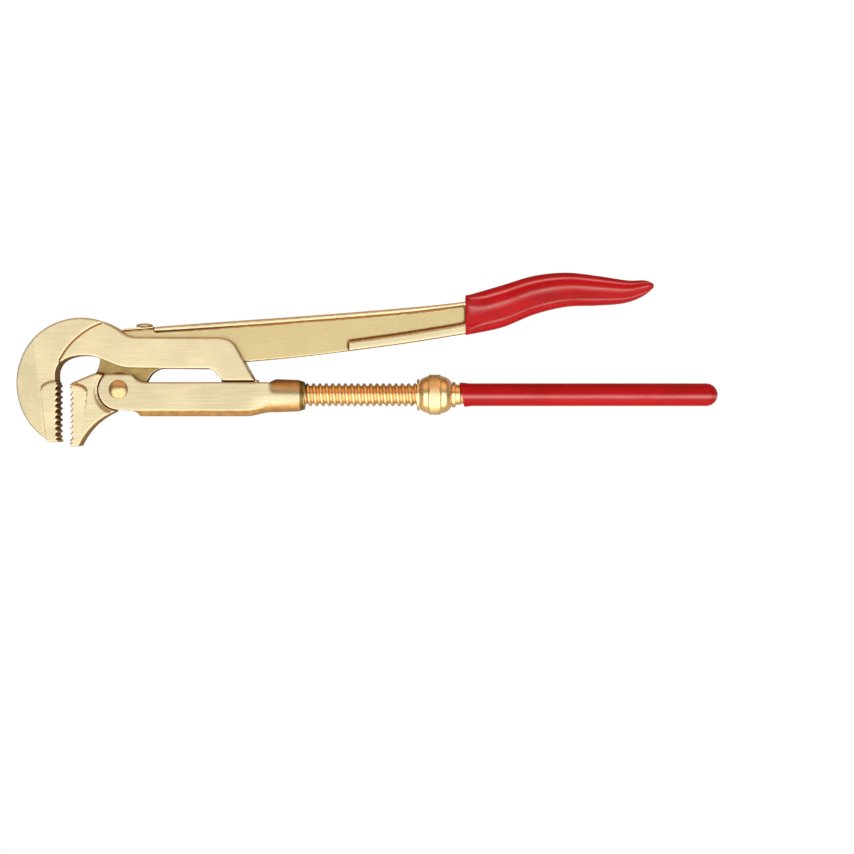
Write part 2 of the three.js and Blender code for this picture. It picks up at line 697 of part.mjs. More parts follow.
const nut = new THREE.Group();
nut.position.x = NUT_PLACE;
nut.add(
  piece('adjusting_nut', adjustingNut(), turnedBronze),
  piece('nut_thrust_washer', thrustWasher(), springBronze),
);

const wrench = new THREE.Group();
wrench.add(hook, sleeve, nut);

// The origin is at the bottom centre of the box.
wrench.updateMatrixWorld(true);
const box = new THREE.Box3().setFromObject(wrench, true);
const middle = box.getCenter(new THREE.Vector3());
wrench.position.set(-middle.x, -middle.y, -box.min.z);

export default wrench;
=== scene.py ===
"""Builds the looks of a Swedish-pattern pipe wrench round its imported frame.

The wrench lies on its side. X runs from the jaws to the handle ends, Y from the threaded rod towards
the lever, and Z up through the thickness. Sizes are in metres.
"""

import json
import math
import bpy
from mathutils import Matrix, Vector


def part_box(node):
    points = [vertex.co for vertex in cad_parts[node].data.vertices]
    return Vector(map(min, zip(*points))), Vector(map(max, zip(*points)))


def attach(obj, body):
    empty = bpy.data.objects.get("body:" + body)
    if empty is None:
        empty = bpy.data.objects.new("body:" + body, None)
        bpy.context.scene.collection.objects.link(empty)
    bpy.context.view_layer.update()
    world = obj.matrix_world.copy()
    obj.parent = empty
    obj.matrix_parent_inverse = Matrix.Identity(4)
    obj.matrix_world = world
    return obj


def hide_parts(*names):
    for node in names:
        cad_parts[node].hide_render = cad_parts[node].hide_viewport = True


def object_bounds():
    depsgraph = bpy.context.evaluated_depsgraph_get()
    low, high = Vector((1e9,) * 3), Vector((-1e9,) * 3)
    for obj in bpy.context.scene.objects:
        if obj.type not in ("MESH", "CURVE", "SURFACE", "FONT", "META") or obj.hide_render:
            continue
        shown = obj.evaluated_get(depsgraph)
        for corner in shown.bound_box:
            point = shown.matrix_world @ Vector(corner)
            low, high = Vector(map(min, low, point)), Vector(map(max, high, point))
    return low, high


bl_info = {
    "name": "Bronze Pipe Wrench",
    "version": (1, 0, 0),
    "blender": (4, 5, 0),
    "location": "View3D > Sidebar > Wrench",
    "description": "Makes the castings, rod, nut, rivets, spring and dipped grips of a pipe wrench",
    "category": "Object",
}

import bmesh
import bpy
import numpy as np
from bpy.props import FloatProperty, FloatVectorProperty, IntProperty, PointerProperty
from mathutils import Vector

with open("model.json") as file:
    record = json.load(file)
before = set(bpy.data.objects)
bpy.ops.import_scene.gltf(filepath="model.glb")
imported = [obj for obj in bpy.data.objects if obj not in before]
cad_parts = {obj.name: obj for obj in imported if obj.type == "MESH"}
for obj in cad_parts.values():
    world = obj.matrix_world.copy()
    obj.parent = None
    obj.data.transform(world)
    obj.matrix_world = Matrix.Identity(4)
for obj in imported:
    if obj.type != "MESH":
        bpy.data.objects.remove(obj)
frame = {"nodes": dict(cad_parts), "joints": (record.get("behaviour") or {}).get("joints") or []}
CAD_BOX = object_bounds()

MM = 0.001
# Radius at which a turned piece closes on its own axis.
POINT = 0.1 * MM
JOINTS = {joint["name"]: joint for joint in frame["joints"]}
PIVOT = Vector(JOINTS["lever_pivot"]["pos_m"])
NUT_MIDDLE = Vector(JOINTS["nut_turn"]["pos_m"])
# On the rod's axis, level with the pivot.
ROD_ORIGIN = Vector((PIVOT.x, NUT_MIDDLE.y, NUT_MIDDLE.z))


# ---------------------------------------------------------------------------------------------------
# Sizes and colours


class WrenchSizes(bpy.types.PropertyGroup):
    """Sizes that a maker would change."""

    casting_grain: FloatProperty(
        name="Casting Mesh", description="Size of the faces on the hook and the frame",
        default=0.00046, min=0.0002, max=0.002, unit="LENGTH", precision=5)
    lever_grain: FloatProperty(
        name="Lever Mesh", description="Size of the faces on the lever, which has the most skin",
        default=0.00055, min=0.0002, max=0.002, unit="LENGTH", precision=5)
    casting_ease: FloatProperty(
        name="Casting Softness", description="How far the castings' edges are rounded over",
        default=0.00103, min=0.0, max=0.003, unit="LENGTH", precision=5)
    spring_grain: FloatProperty(
        name="Spring Mesh", description="Size of the faces on the leaf spring",
        default=0.00022, min=0.0001, max=0.001, unit="LENGTH", precision=5)
    spring_ease: FloatProperty(
        name="Spring Softness", description="How far the leaf spring's edges are rounded over",
        default=0.00038, min=0.0, max=0.002, unit="LENGTH", precision=5)
    thread_pitch: FloatProperty(
        name="Thread Pitch", description="Distance from one thread crest to the next",
        default=0.00385, min=0.001, max=0.01, unit="LENGTH", precision=5)
    thread_crest: FloatProperty(
        name="Thread Crest Radius", description="Radius over the thread's crests",
        default=0.0070, min=0.003, max=0.02, unit="LENGTH", precision=5)
    thread_root: FloatProperty(
        name="Thread Root Radius", description="Radius at the thread's roots",
        default=0.00545, min=0.002, max=0.02, unit="LENGTH", precision=5)
    knurl_depth: FloatProperty(
        name="Knurl Depth", description="Depth of the diamond knurl on the nut's band",
        default=0.00028, min=0.0, max=0.001, unit="LENGTH", precision=5)
    knurl_count: IntProperty(
        name="Knurl Count", description="Diamonds round the nut's band",
        default=44, min=12, max=90)
    grip_recess: FloatProperty(
        name="Grip Recess", description="Depth of the hollow along the sides of the upper grip",
        default=0.0011, min=0.0, max=0.003, unit="LENGTH", precision=5)
    camera_height: FloatProperty(
        name="Camera Height", description="Camera's height above the middle of the wrench",
        default=1.376, min=0.2, max=5.0, unit="LENGTH")
    camera_lens: FloatProperty(
        name="Camera Lens", description="Focal length", default=95.4, min=10, max=300,
        unit="CAMERA")


class WrenchColours(bpy.types.PropertyGroup):
    """Colours of the metals, the plastic and the floor."""

    ground_bronze: FloatVectorProperty(
        name="Ground Bronze", description="Flat faces that were ground after casting",
        default=(0.525, 0.465, 0.30), size=3, min=0, max=1, subtype="COLOR")
    cast_bronze: FloatVectorProperty(
        name="Cast Bronze", description="Walls left as they were cast",
        default=(0.61, 0.38, 0.165), size=3, min=0, max=1, subtype="COLOR")
    skin_bronze: FloatVectorProperty(
        name="Casting Skin", description="Sunken faces that were never ground",
        default=(0.46, 0.375, 0.165), size=3, min=0, max=1, subtype="COLOR")
    worn_bronze: FloatVectorProperty(
        name="Worn Bronze", description="Edges rubbed bright",
        default=(0.88, 0.80, 0.56), size=3, min=0, max=1, subtype="COLOR")
    # Brown speckle on the cast walls and turned parts. The same brown is painted shade in the
    # castings' concave corners, and it also darkens the thread roots.
    brown_speckle_and_shade: FloatVectorProperty(
        name="Dull Bronze", description="Brown film in corners and thread roots",
        default=(0.30, 0.13, 0.04), size=3, min=0, max=1, subtype="COLOR")
    # Painted shade: the dark brown laid on the lever's sunken neck and on the socket's end face.
    painted_shade_bronze: FloatVectorProperty(
        name="Dark Skin", description="Sheltered parts of the castings that kept a dark film",
        default=(0.20, 0.135, 0.042), size=3, min=0, max=1, subtype="COLOR")
    turned_bronze: FloatVectorProperty(
        name="Turned Bronze", description="Rod, rings and rivets",
        default=(0.88, 0.62, 0.32), size=3, min=0, max=1, subtype="COLOR")
    nut_bronze: FloatVectorProperty(
        name="Nut Bronze", description="Adjusting nut and its thrust washer",
        default=(0.92, 0.71, 0.40), size=3, min=0, max=1, subtype="COLOR")
    grip_red: FloatVectorProperty(
        name="Grip Red", description="Dipped plastic of both grips",
        default=(0.38, 0.006, 0.010), size=3, min=0, max=1, subtype="COLOR")
    # Painted highlight: the pale pink laid along the upper grip's ribs and along one line on the
    # lower grip.
    grip_highlight: FloatVectorProperty(
        name="Grip Bloom", description="Pale bloom where hands rub the grips' ribs",
        default=(0.62, 0.26, 0.26), size=3, min=0, max=1, subtype="COLOR")
    floor: FloatVectorProperty(
        name="Floor", description="Light floor under the wrench",
        default=(1.0, 1.0, 1.0), size=3, min=0, max=1, subtype="COLOR")
    floor_bounce: FloatVectorProperty(
        name="Floor Bounce", description="Floor as the metal mirrors it",
        default=(0.46, 0.40, 0.32), size=3, min=0, max=1, subtype="COLOR")
    room: FloatVectorProperty(
        name="Room", description="Light that comes back from the room's walls",
        default=(1.0, 0.80, 0.60), size=3, min=0, max=1, subtype="COLOR")


# ---------------------------------------------------------------------------------------------------
# Finishes


class Signal:
    """A node's output that takes part in arithmetic. Each operation adds its Math node."""

    def __init__(self, tree, socket):
        self.tree, self.socket = tree, socket

    def maths(self, operation, *values, first=None):
        inputs = [self if first is None else first, *values]
        return self.tree.add(
            "ShaderNodeMath", {"operation": operation}, dict(enumerate(inputs)))

    def __add__(self, other):
        return self.maths("ADD", other)

    __radd__ = __add__

    def __sub__(self, other):
        return self.maths("SUBTRACT", other)

    def __rsub__(self, other):
        return self.maths("SUBTRACT", self, first=other)

    def __mul__(self, other):
        return self.maths("MULTIPLY", other)

    __rmul__ = __mul__

    def __abs__(self):
        return self.maths("ABSOLUTE")

    def between(self, low, high):
        """0 below low, 1 above high, and smooth in between."""
        return self.tree.add(
            "ShaderNodeMapRange", {"interpolation_type": "SMOOTHSTEP"},
            {"Value": self, "From Min": low, "From Max": high, "To Min": 0.0, "To Max": 1.0})


class Tree:
    """The node tree of a material or a world, in the making."""

    def __init__(self, owner):
        owner.use_nodes = True
        self.tree = owner.node_tree
        self.tree.nodes.clear()

    def add(self, kind, settings=None, inputs=None, out=0):
        """Adds a node: its settings come first, then its inputs' values and links."""
        node = self.tree.nodes.new(kind)
        for setting, value in (settings or {}).items():
            setattr(node, setting, value)
        for socket, value in (inputs or {}).items():
            target = node.inputs[socket]
            if isinstance(value, Signal):
                self.tree.links.new(value.socket, target)
            else:
                target.default_value = value
        return Signal(self, node.outputs[out]) if node.outputs else None


class Finish(Tree):
    """A material in the making."""

    def __init__(self, name):
        self.material = bpy.data.materials.new(name)
        super().__init__(self.material)
        self.place = self.add("ShaderNodeTexCoord", out="Object")

    def along(self, axis):
        """Distance from the pivot along an axis."""
        reach = self.add("ShaderNodeSeparateXYZ", None, {0: self.place}, out=axis)
        return reach - PIVOT["XYZ".index(axis)]

    def grain(self, size, detail, seed, stretch=None):
        """Noise whose spots are about size across, in metres, stretched along each axis if asked.
        Each seed gives another stretch of the same noise."""
        place = self.place
        if stretch:
            place = self.add("ShaderNodeVectorMath", {"operation": "MULTIPLY"},
                             {0: place, 1: [1.0 / s for s in stretch]})
        place = self.add("ShaderNodeVectorMath", {"operation": "ADD"},
                         {0: place, 1: (seed, 0.37 * seed, 0.71 * seed)})
        return self.add("ShaderNodeTexNoise", {"noise_dimensions": "3D"},
                        {"Vector": place, "Scale": 1.0 / size, "Detail": detail,
                         "Roughness": 0.55})

    def blend(self, share, first, second):
        """A colour between two: first where share is 0, second where it is 1."""
        return self.add("ShaderNodeMix", {"data_type": "RGBA"},
                        {0: share, 6: first, 7: second}, out=2)

    def attribute(self, name):
        return self.add("ShaderNodeAttribute", {"attribute_name": name}, out="Fac")

    def bump(self, height, distance, strength):
        return self.add("ShaderNodeBump", None,
                        {"Height": height, "Distance": distance, "Strength": strength})

    def surface(self, **sockets):
        """Ends the material with its one Principled shader."""
        shader = self.add("ShaderNodeBsdfPrincipled", None,
                          {name.replace("_", " "): value for name, value in sockets.items()})
        self.add("ShaderNodeOutputMaterial", None, {"Surface": shader})
        return self.material


def rgba(colour, scale=1.0):
    """A colour for a socket, made lighter or darker by scale."""
    return (*[min(1.0, c * scale) for c in colour], 1.0)


def cast_finish(name, colours, seed, tone=1.0, sunken=0.0, dark=None, depth=1.0):
    """Bronze casting: ground flats, darker as-cast walls, bright worn edges and painted shade in
    concave corners. tone scales the ground flats. Faces less than sunken above or below the middle
    were never ground. dark, if given, takes the finish and gives the share of each place that is
    painted with shade, and depth scales that painted shade."""
    f = Finish(name)
    facing = f.add("ShaderNodeTexCoord", out="Normal")
    upright = abs(f.add("ShaderNodeSeparateXYZ", None, {0: facing}, out="Z"))
    patches = f.grain(0.022, 2.0, seed=seed)
    mottle = f.grain(0.0045, 4.0, seed=seed + 1.0)
    sand = f.grain(0.0009, 3.0, seed=seed + 2.0)
    strokes = f.grain(0.0007, 4.0, stretch=(26.0, 1.0, 1.0), seed=seed + 3.0)
    ground = (upright + (mottle - 0.5) * 0.10).between(0.72, 0.95)
    worn = (f.attribute("ridge") * 1.6 + (mottle - 0.5) * 0.9).between(0.25, 0.85)
    hollow = (f.attribute("hollow") * 3.0 + (mottle - 0.5) * 0.6).between(0.15, 0.8)

    pale = f.blend(patches.between(0.35, 0.68), rgba(colours.ground_bronze, 0.93 * tone),
                   rgba(colours.ground_bronze, 1.06 * tone))
    red, green, blue = colours.ground_bronze
    pale = f.blend(mottle.between(0.4, 0.8) * 0.35, pale, rgba((red, green * 0.90, blue * 0.74)))
    pale = f.blend(strokes.between(0.35, 0.75) * 0.22, pale, rgba(colours.worn_bronze))
    brown = f.blend(mottle.between(0.3, 0.75), rgba(colours.cast_bronze, 0.82),
                    rgba(colours.cast_bronze, 1.15))
    brown = f.blend(sand.between(0.5, 0.75) * 0.4, brown, rgba(colours.brown_speckle_and_shade))
    if sunken:
        cover = abs(f.along("Z")).between(sunken - 0.4 * MM, sunken + 0.1 * MM)
        rough_skin = f.blend(sand.between(0.4, 0.75), rgba(colours.skin_bronze),
                             rgba(colours.skin_bronze, 0.8))
        pale = f.blend(cover, rough_skin, pale)
    colour = f.blend(ground, brown, pale)
    # Painted shade over the places that dark gives.
    if dark:
        film = f.blend(mottle.between(0.35, 0.7), rgba(colours.painted_shade_bronze, depth),
                       rgba(colours.painted_shade_bronze, 1.5 * depth))
        colour = f.blend(dark(f), colour, film)
    # Painted shade: concave corners and steps, from the hollow attribute, are darkened brown.
    colour = f.blend(hollow * 0.92, colour, rgba(colours.brown_speckle_and_shade, 0.65))
    colour = f.blend(worn * 0.35, colour, rgba(colours.worn_bronze, 0.8))

    roughness = (1.0 - ground) * 0.13 + 0.34 + (strokes - 0.5) * 0.12 + hollow * 0.1 - worn * 0.05
    height = sand * (1.0 - ground) + mottle * 0.5 + strokes * ground * 0.16
    normal = f.bump(height, 0.00016, 0.55)
    return f.surface(Base_Color=colour, Metallic=1.0, Roughness=roughness, Normal=normal)


def turned_finish(name, colours, metal, centre, seed, root=None, crest=None):
    """Bronze turned in a lathe, with fine rings. root and crest, if given, are the radii about centre
    of a thread that is coloured darker brown towards its roots."""
    f = Finish(name)
    rings = f.grain(0.00035, 3.0, stretch=(1.0, 60.0, 60.0), seed=seed)
    patches = f.grain(0.012, 3.0, seed=seed + 1.0)
    mottle = f.grain(0.0022, 4.0, seed=seed + 2.0)
    colour = f.blend(patches.between(0.3, 0.7), rgba(metal, 0.88), rgba(metal, 1.06))
    colour = f.blend(rings.between(0.4, 0.8) * 0.25, colour, rgba(colours.worn_bronze))
    colour = f.blend(mottle.between(0.52, 0.8) * 0.4, colour, rgba(colours.brown_speckle_and_shade, 1.8))
    roughness = 0.27 + (rings - 0.5) * 0.16 + (mottle - 0.5) * 0.1
    if root:
        offset = f.add("ShaderNodeVectorMath", {"operation": "SUBTRACT"},
                       {0: f.place, 1: tuple(centre)})
        across = f.add("ShaderNodeVectorMath", {"operation": "MULTIPLY"},
                       {0: offset, 1: (0.0, 1.0, 1.0)})
        radius = f.add("ShaderNodeVectorMath", {"operation": "LENGTH"}, {0: across}, out="Value")
        # Darker brown towards the thread's roots.
        deep = 1.0 - (radius + (mottle - 0.5) * 0.0006).between(root, root + 0.55 * (crest - root))
        colour = f.blend(deep * 0.3, colour, rgba(colours.brown_speckle_and_shade, 1.9))
        roughness = roughness + deep * 0.12
    normal = f.bump(rings * 0.6 + mottle * 0.5, 0.00008, 0.4)
    return f.surface(Base_Color=colour, Metallic=1.0, Roughness=roughness, Normal=normal)


def rivet_finish(name, colours, metal, seed):
    """Rivet head set with a hammer: small dents, fine scratches and a thin brown film."""
    f = Finish(name)
    dents = f.grain(0.0021, 2.0, seed=seed)
    scratches = f.grain(0.00028, 3.0, stretch=(1.0, 14.0, 1.0), seed=seed + 1.0)
    film = f.grain(0.0035, 4.0, seed=seed + 2.0)
    colour = f.blend(film.between(0.35, 0.75), rgba(metal, 0.76), rgba(metal, 0.58))
    colour = f.blend(scratches.between(0.5, 0.8) * 0.25, colour, rgba(colours.worn_bronze, 0.9))
    roughness = 0.27 + (film - 0.4) * 0.18 + (scratches - 0.5) * 0.1
    normal = f.bump(dents + scratches * 0.15, 0.0002, 0.35)
    return f.surface(Base_Color=colour, Metallic=1.0, Roughness=roughness, Normal=normal)


def strip_finish(name, colours, seed):
    """Rolled strip, with rolling lines and heat-brown patches."""
    f = Finish(name)
    lines = f.grain(0.0003, 3.0, stretch=(40.0, 40.0, 1.0), seed=seed)
    patches = f.grain(0.004, 3.0, seed=seed + 1.0)
    colour = f.blend(patches.between(0.35, 0.7), rgba(colours.nut_bronze),
                     rgba(colours.turned_bronze, 0.95))
    colour = f.blend(lines.between(0.45, 0.8) * 0.3, colour, rgba(colours.worn_bronze))
    roughness = 0.3 + (lines - 0.5) * 0.15 + (patches - 0.5) * 0.1
    normal = f.bump(lines, 0.00006, 0.4)
    return f.surface(Base_Color=colour, Metallic=1.0, Roughness=roughness, Normal=normal)


def grip_finish(name, colours, seed):
    """Glossy plastic, dipped hot: a wet skin with slow waves, specks, and a painted highlight along
    its ribs.
    """
    f = Finish(name)
    waves = f.grain(0.011, 2.0, stretch=(3.0, 1.0, 1.0), seed=seed)
    pores = f.grain(0.0016, 3.0, seed=seed + 1.0)
    specks = f.grain(0.0005, 2.0, seed=seed + 2.0)
    scuffs = f.grain(0.006, 5.0, seed=seed + 3.0).between(0.55, 0.8)
    ribs = f.attribute("rib") * f.grain(0.03, 2.0, seed=seed + 4.0).between(0.1, 0.6)
    red, green, blue = colours.grip_red
    colour = f.blend(waves.between(0.3, 0.7), rgba(colours.grip_red, 0.88),
                     rgba(colours.grip_red, 1.10))
    colour = f.blend(specks.between(0.62, 0.8) * 0.25, colour, rgba((red * 0.7, green, blue)))
    colour = f.blend(scuffs * 0.18, colour, rgba((red * 1.05, green * 6, blue * 5)))
    # Painted highlight along the ribs.
    colour = f.blend(ribs * 0.6, colour, rgba(colours.grip_highlight))
    roughness = 0.24 + scuffs * 0.16 + (pores - 0.5) * 0.08
    normal = f.bump(waves * 2.2 + pores * 0.25 + specks * 0.05, 0.0003, 0.4)
    return f.surface(Base_Color=colour, Roughness=roughness, Specular_IOR_Level=0.08,
                     Coat_Weight=ribs * 0.6 + 0.05, Coat_Roughness=0.1, Normal=normal)


# ---------------------------------------------------------------------------------------------------
# Mesh tools


def new_object(name, mesh):
    piece = bpy.data.objects.new(name, mesh)
    bpy.context.scene.collection.objects.link(piece)
    return piece


def dress(piece, body, node, finish):
    """Smooth shading, its finish and the body it rides on; hides the node it stands for."""
    mesh = piece.data
    mesh.materials.clear()
    mesh.materials.append(finish)
    mesh.polygons.foreach_set("use_smooth", [True] * len(mesh.polygons))
    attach(piece, body)
    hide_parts(node)
    return piece


def skin(name, rings, loop=False):
    """A closed mesh over rings of points. With loop the last ring joins the first; otherwise the end
    rings are capped."""
    count, around = rings.shape[:2]
    verts = rings.reshape(-1, 3)
    faces = []
    for i in range(count if loop else count - 1):
        a, b = i * around, ((i + 1) % count) * around
        faces += [(a + j, a + (j + 1) % around, b + (j + 1) % around, b + j)
                  for j in range(around)]
    if not loop:
        faces.append(tuple(range(around)))
        faces.append(tuple(range((count - 1) * around, count * around)))
    mesh = bpy.data.meshes.new(name)
    mesh.from_pydata(verts.tolist(), [], faces)
    work = bmesh.new()
    work.from_mesh(mesh)
    bmesh.ops.recalc_face_normals(work, faces=work.faces)
    work.to_mesh(mesh)
    work.free()
    return new_object(name, mesh)


def eased(points, ease, steps=3, loop=False):
    """A polyline with each corner rounded over, by ease or less where a side is short."""
    points = [np.array(p, float) for p in points]
    result = [] if loop else [points[0]]
    corners = range(len(points)) if loop else range(1, len(points) - 1)
    for i in corners:
        before, here, after = points[i - 1], points[i], points[(i + 1) % len(points)]
        back, on = before - here, after - here
        reach = min(ease, 0.45 * np.linalg.norm(back), 0.45 * np.linalg.norm(on))
        start = here + back / np.linalg.norm(back) * reach
        end = here + on / np.linalg.norm(on) * reach
        for k in range(steps + 1):
            t = k / steps
            result.append((1 - t) ** 2 * start + 2 * t * (1 - t) * here + t * t * end)
    if not loop:
        result.append(points[-1])
    return np.array(result)


def eased_step(*shares):
    """The product of shares, each held between 0 and 1, which starts and ends gently."""
    product = np.prod([np.clip(share, 0, 1) for share in shares], axis=0)
    return product * product * (3 - 2 * product)


def turned(name, profile, centre, around=72, axis="X", loop=False, shape=None):
    """A profile of (along, radius) turned about an axis through centre. shape, if given, takes the
    places along, the angles and the radii, and gives new radii."""
    profile = np.asarray(profile, float)
    angles = np.linspace(0, 2 * math.pi, around, endpoint=False)
    along, angle = np.meshgrid(profile[:, 0], angles, indexing="ij")
    radius = np.repeat(profile[:, 1:2], around, axis=1)
    if shape:
        radius = shape(along, angle, radius)
    across, up = radius * np.cos(angle), radius * np.sin(angle)
    order = {"X": (along, across, up), "Y": (across, along, up), "Z": (across, up, along)}[axis]
    return skin(name, np.stack(order, -1) + np.array(centre), loop)


# An edge or corner rounded to a quarter of this radius counts as a full ridge or hollow.
SOFT_RADIUS = 2.1 * MM


def curve_attributes(mesh, passes=2):
    """Stores how sharply the skin stands out (ridge) or lies in (hollow) at each vertex."""
    count = len(mesh.vertices)
    place = np.zeros(count * 3, np.float32)
    mesh.vertices.foreach_get("co", place)
    normal = np.zeros(count * 3, np.float32)
    mesh.vertices.foreach_get("normal", normal)
    place, normal = place.reshape(-1, 3), normal.reshape(-1, 3)
    edges = np.zeros(len(mesh.edges) * 2, np.int32)
    mesh.edges.foreach_get("vertices", edges)
    one, other = edges.reshape(-1, 2).T
    degree = np.bincount(one, minlength=count) + np.bincount(other, minlength=count)
    degree = np.maximum(degree, 1)

    def mean(values):
        total = np.bincount(one, values[other], count) + np.bincount(other, values[one], count)
        return total / degree

    length = np.linalg.norm(place[one] - place[other], axis=1)
    spacing = (np.bincount(one, length, count) + np.bincount(other, length, count)) / degree
    centre = np.stack([mean(place[:, k]) for k in range(3)], 1)
    bend = -((centre - place) * normal).sum(1) / np.maximum(spacing, 1e-9) ** 2 * SOFT_RADIUS
    for _ in range(passes):
        bend = 0.4 * bend + 0.6 * mean(bend)
    for name, values in (("ridge", bend), ("hollow", -bend)):
        attribute = mesh.attributes.new(name, "FLOAT", "POINT")
        attribute.data.foreach_set("value", np.clip(values, 0, 1).astype(np.float32))


def casting(node, name, grain, ease):
    """A copy of a node's solid, remade as an even skin of grain-sized faces whose edges are rounded
    over by about ease."""
    mesh = frame["nodes"][node].data.copy()
    work = bmesh.new()
    work.from_mesh(mesh)
    bmesh.ops.remove_doubles(work, verts=work.verts, dist=0.001 * MM)
    work.to_mesh(mesh)
    work.free()
    piece = new_object(name, mesh)
    even = piece.modifiers.new("even skin", "REMESH")
    even.mode = "VOXEL"
    even.voxel_size = grain
    soft = piece.modifiers.new("rounded edges", "SMOOTH")
    soft.factor = 0.5
    soft.iterations = round((ease / grain) ** 2)
    graph = bpy.context.evaluated_depsgraph_get()
    remade = bpy.data.meshes.new_from_object(piece.evaluated_get(graph))
    piece.modifiers.clear()
    piece.data = remade
    curve_attributes(remade)
    return piece


# ---------------------------------------------------------------------------------------------------
# Pieces


class WRENCH_OT_hook(bpy.types.Operator):
    """Hook jaw: toothed head, slotted shank and the foot that holds the rod"""

    bl_idname = "wrench.hook"
    bl_label = "Hook Jaw"

    def execute(self, context):
        sizes, colours = context.scene.wrench_sizes, context.scene.wrench_colours
        piece = casting("hook_jaw", "hook_casting", sizes.casting_grain, sizes.casting_ease)
        dress(piece, "hook", "hook_jaw", cast_finish("hook bronze", colours, 1.0))
        return {"FINISHED"}


class WRENCH_OT_sleeve(bpy.types.Operator):
    """Frame: two ears on the pivot, an open channel and the rod's socket"""

    bl_idname = "wrench.sleeve"
    bl_label = "Frame Sleeve"

    def execute(self, context):
        sizes, colours = context.scene.wrench_sizes, context.scene.wrench_colours
        piece = casting("frame_sleeve", "frame_casting", sizes.casting_grain, sizes.casting_ease)

        def mouth(f):
            """The socket's end face, painted in shade."""
            return f.along("X").between(109.0 * MM, 109.8 * MM)

        dress(piece, "frame", "frame_sleeve",
              cast_finish("frame bronze", colours, 5.0, tone=0.89, dark=mouth, depth=0.72))
        return {"FINISHED"}


class WRENCH_OT_lever(bpy.types.Operator):
    """Lever: lower jaw, hub, neck and upper handle in one casting"""

    bl_idname = "wrench.lever"
    bl_label = "Lever"

    def execute(self, context):
        sizes, colours = context.scene.wrench_sizes, context.scene.wrench_colours
        piece = casting("lever_arm", "lever_casting", sizes.lever_grain, sizes.casting_ease)

        def neck(f):
            """The sunken web between the hub and the hook's leg, painted in shade."""
            low = 1.0 - abs(f.along("Z")).between(7.2 * MM, 7.8 * MM)
            near = 1.0 - (f.along("X") + f.along("Y") * 0.5).between(28 * MM, 36 * MM)
            return low * near * (1.0 - f.along("Y").between(19 * MM, 26 * MM)) * 0.85

        dress(piece, "lever", "lever_arm",
              cast_finish("lever bronze", colours, 9.0, sunken=4.6 * MM, dark=neck))
        return {"FINISHED"}


class WRENCH_OT_rod(bpy.types.Operator):
    """Threaded rod, its cross pin and the ring that stops the nut"""

    bl_idname = "wrench.rod"
    bl_label = "Rod"

    def execute(self, context):
        sizes, colours = context.scene.wrench_sizes, context.scene.wrench_colours
        low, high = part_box("adjusting_rod")
        start, end = low.x - PIVOT.x, high.x - PIVOT.x
        shoulder, thread_start, thread_end, bar_start = 84.4 * MM, 98 * MM, 201.1 * MM, 207 * MM
        plain, tang, bar = 6.2 * MM, 5.0 * MM, 5.6 * MM
        run_out, round_over = 2.2 * MM, 0.4 * MM
        front = eased([(start, POINT), (start, tang), (shoulder, tang), (shoulder, plain),
                       (thread_start - 0.2 * MM, plain)], round_over)
        rings_per_turn = 14
        steps = int((thread_end - thread_start) / (sizes.thread_pitch / rings_per_turn))
        screw = [(x, plain) for x in np.linspace(thread_start, thread_end, steps)]
        back = eased([(thread_end + 0.2 * MM, plain), (bar_start - 0.6 * MM, plain),
                      (bar_start, bar), (end - 3 * MM, bar), (end, bar - 3 * MM), (end, POINT)],
                     round_over)

        def cut_thread(along, angle, radius):
            """A right-hand thread with round crests and roots, which runs out at both ends."""
            wave = np.cos(2 * math.pi * (along / sizes.thread_pitch - 0.5) - angle)
            tooth = 0.5 + 0.5 * np.tanh(1.9 * wave) / math.tanh(1.9)
            cut = sizes.thread_root + (sizes.thread_crest - sizes.thread_root) * tooth
            inside = eased_step((along - thread_start) / run_out, (thread_end - along) / run_out)
            return radius + (cut - radius) * inside

        rod = turned("threaded_rod", [*front, *screw, *back], ROD_ORIGIN, 64, shape=cut_thread)
        dress(rod, "hook", "adjusting_rod",
              turned_finish("rod bronze", colours, colours.turned_bronze, ROD_ORIGIN, 13.0,
                            sizes.thread_root, sizes.thread_crest))

        low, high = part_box("nut_stop_ring")
        start, end, inner, outer = low.x, high.x, 6.5 * MM, (high.z - low.z) / 2
        profile = eased([(start, inner), (start, outer), (end, outer), (end, inner)],
                        0.5 * MM, 4, loop=True)
        ring = turned("stop_ring", profile, (0, ROD_ORIGIN.y, ROD_ORIGIN.z), 96, loop=True)
        dress(ring, "hook", "nut_stop_ring",
              turned_finish("ring bronze", colours, colours.turned_bronze, ROD_ORIGIN, 17.0))

        pin = frame["nodes"]["rod_cross_pin"]
        finish = turned_finish("pin bronze", colours, colours.turned_bronze, ROD_ORIGIN, 19.0)
        for material_slot in pin.material_slots:
            material_slot.material = finish
        return {"FINISHED"}


